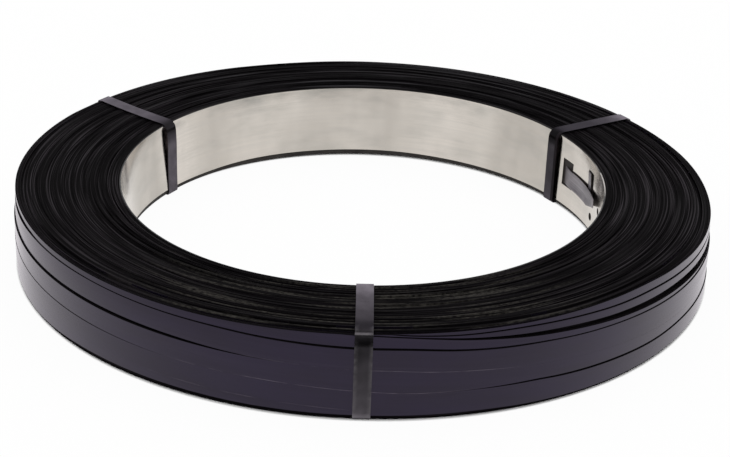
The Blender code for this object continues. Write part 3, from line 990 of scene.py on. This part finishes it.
def strap_grey_end():
    """The strap's inner end, a grey paler than the black paint; the hoop's tongue takes it as painted shade.
    """
    made, shader = new_material("grey_strap_end", (0.2, 0.18, 0.2), 0.5, 0.35, 0.5)
    spot = object_place(shader)
    patches = pattern(spot, (40, 40, 90), 0.35, 0.65, 3)
    colour = blend(patches, (0.10, 0.086, 0.104), (0.19, 0.17, 0.187))
    scratches = pattern(spot, (20, 20, 2400), 0.5, 0.7)
    feed(shader, "Base Color", blend(times(scratches, 0.4), colour, (0.5, 0.47, 0.48)))
    feed(shader, "Roughness", span(patches, 0.0, 1.0, 0.42, 0.28))
    return made


def hoop_steel():
    """Bare cold-rolled sheet: satin, with soft upright clouds, rolling lines and a few faint stains, which
    grow towards the top as painted shade.
    """
    made, shader = new_material("bare_hoop_steel", (0.66, 0.61, 0.56), 1.0, 0.16, 0.5)
    spot = object_place(shader)
    clouds = pattern(spot, (16, 16, 5), 0.3, 0.7, 3, (0.3, 0, 0))
    colour = blend(clouds, (0.47, 0.435, 0.39), (0.68, 0.63, 0.575))
    lines = pattern(spot, (9, 9, 900), 0.35, 0.7, 3)
    colour = blend(times(lines, 0.3), colour, (0.50, 0.48, 0.45))
    stains = pattern(spot, (24, 24, 70), 0.46, 0.78, 4, (0, 2, 0))
    # Painted shade: the stains grow stronger towards the hoop's top
    near_top = span(part_of(spot, 2), 0.045, 0.067, 0.35, 0.8)
    feed(shader, "Base Color", blend(times(stains, near_top), colour, (0.33, 0.325, 0.30)))
    rough = pattern(spot, (25, 25, 40), 0.3, 0.7, 3, (4, 0, 0), (0.11, 0.2))
    feed(shader, "Roughness", rough)
    emboss(shader, lines, 0.00002, 0.4)
    return made


def hoop_rim():
    """The hoop's sheared edges, dark but for a pale stretch at the back on the right."""
    made, shader = new_material("sheared_hoop_edge", (0.05, 0.05, 0.05), 0.6, 0.45, 0.3)
    spot = object_place(shader)
    on_right = span(part_of(spot, 0), 0.198, 0.2015)
    behind = span(part_of(spot, 1), -0.045, -0.02)
    breaks = pattern(spot, (60, 60, 60), 0.35, 0.5, 3)
    bright = times(on_right, behind, breaks)
    feed(shader, "Base Color", blend(bright, (0.03, 0.03, 0.032), (0.55, 0.52, 0.5)))
    return made


def tie_steel():
    """Grey tie steel, with painted light and shade along its run, rubbed along its edges, and painted
    highlights at the bend over the rim and the fold underneath.
    """
    made, shader = new_material("grey_tie_steel", (0.05, 0.048, 0.052), 0.85, 0.2, 0.5, (0.55, 0.53, 0.57))
    spot = object_place(shader)
    clouds = pattern(spot, (90, 90, 90), 0.35, 0.65, 4, to=(0.8, 1.2))
    # Painted light and shade along the run sets how bright the steel is
    colour = blend(times(point_mark(shader, "light_and_shade"), clouds), (0.0, 0.0, 0.0), (1.0, 0.90, 1.03))
    broken = pattern(spot, (300, 300, 300), 0.35, 0.6, 3, to=(0.35, 1))
    colour = blend(times(point_mark(shader, "rub_and_highlight"), broken), colour, (0.15, 0.14, 0.15))
    feed(shader, "Base Color", colour)
    rough = pattern(spot, (160, 160, 160), 0.3, 0.7, 3, (1, 0, 0), (0.13, 0.26))
    feed(shader, "Roughness", rough)
    emboss(shader, grain(spot, (260, 260, 260), 4, (7, 0, 0)), 0.00005, 0.6)
    return made


def tie_shade_side():
    """Painted shade along one side of a leg: the same steel, made dull and dark."""
    made, shader = new_material("tie_side_painted_shade", (0.012, 0.009, 0.013), 0.0, 0.4, 0.06)
    clouds = pattern(object_place(shader), (120, 120, 120), 0.35, 0.65, 3)
    feed(shader, "Base Color", blend(clouds, (0.004, 0.0022, 0.0035), (0.011, 0.007, 0.010)))
    return made


# The stage


def add_flag():
    """A black card behind the camera, which only shows in the gloss of what faces it."""
    work = flat_grid(1, 1, FLAG_WIDTH, FLAG_HEIGHT)
    bmesh.ops.rotate(work, verts=work.verts, cent=(0, 0, 0), matrix=Matrix.Rotation(pi / 2, 3, "X"))
    bmesh.ops.translate(work, verts=work.verts, vec=(0.0, -FLAG_DISTANCE, FLAG_FOOT + FLAG_HEIGHT / 2))
    made, _ = new_material("black_card", (0.01, 0.01, 0.012), 0.0, 1.0, 0.0)
    card = make_piece("black_card", work, (made,))
    card.visible_camera = card.visible_diffuse = card.visible_shadow = False


def add_camera():
    """A camera in front of the coil, looking down on it."""
    tilt = radians(CAMERA_ELEVATION)
    roll_angle = radians(CAMERA_ROLL)
    back = Vector((0.0, -cos(tilt), sin(tilt)))
    right = Vector((1.0, 0.0, 0.0))
    up = Vector((0.0, sin(tilt), cos(tilt)))
    eye = Vector((CAMERA_ASIDE, 0.0, FOOT)) + up * CAMERA_AIM_LIFT + back * CAMERA_DISTANCE
    across = right * cos(roll_angle) + up * sin(roll_angle)
    upward = up * cos(roll_angle) - right * sin(roll_angle)
    data = bpy.data.cameras.new("camera")
    data.lens = CAMERA_LENS
    data.sensor_width = CAMERA_SENSOR
    camera = bpy.data.objects.new("camera", data)
    bpy.context.scene.collection.objects.link(camera)
    turn = Matrix((across, upward, back)).transposed()
    camera.matrix_world = Matrix.Translation(eye) @ turn.to_4x4()
    bpy.context.scene.camera = camera


def add_world():
    """An even white surround, which lights everything."""
    world = bpy.data.worlds.new("studio")
    world.use_nodes = True
    background = world.node_tree.nodes["Background"]
    feed(background, "Color", (1.0, 1.0, 1.0))
    feed(background, "Strength", 1.0)
    bpy.context.scene.world = world


def add_floor():
    """A white floor: it shows as white to the camera and in gloss, and keeps a part of the coil's shadow."""
    made, shader = new_material("white_floor", (0.95, 0.95, 0.95), 0.0, 0.8, 0.0)
    paths = add_node(shader, "LightPath", {})
    seen = reckon("MAXIMUM", paths["Is Camera Ray"], paths["Is Glossy Ray"])
    seen = reckon("MAXIMUM", seen, paths["Is Transmission Ray"])
    stretch = (1.0, FLOOR_STRETCH, 1.0)
    stretched = add_node(shader, "Mapping", {"Vector": object_place(shader), "Scale": stretch})["Vector"]
    middle = (WALL[1][1], 0.0, 0.0)
    away = add_node(shader, "VectorMath", {0: stretched, 1: middle}, operation="DISTANCE")["Value"]
    open_floor = times(reckon("MAXIMUM", span(away, *FLOOR_OUTSIDE), span(away, *FLOOR_INSIDE)), FLOOR_WHITE)
    glow = add_node(shader, "Emission", {})["Emission"]
    mixed = add_node(shader, "MixShader", {0: times(seen, open_floor), 1: shader.outputs["BSDF"], 2: glow})
    feed(made.node_tree.nodes["Material Output"], "Surface", mixed["Shader"])
    floor = make_piece("floor", flat_grid(1, 1, FLOOR_SIDE, FLOOR_SIDE), (made,))


add_camera()
add_world()
add_floor()
add_flag()
paint = strap_paint()
edges = strap_edges()
inner_shade = strap_inner_shade()
top_heights = layer_heights(3, 0.0016)
foot_heights = layer_heights(5, 0.0012)
for index in range(RINGS):
    layer_ring(f"winding_{index + 1}", index, top_heights, foot_heights, paint, edges, inner_shade)
outer_turns(paint, edges)
greyed = strap_grey_end()
core_hoop(hoop_steel(), hoop_rim(), greyed)
strap_end(greyed)
grey = tie_steel()
leg_shade = tie_shade_side()
for name, run in TIES.items():
    tie(name, *run, grey, leg_shade)
bpy.context.scene.view_settings.view_transform = "Standard"
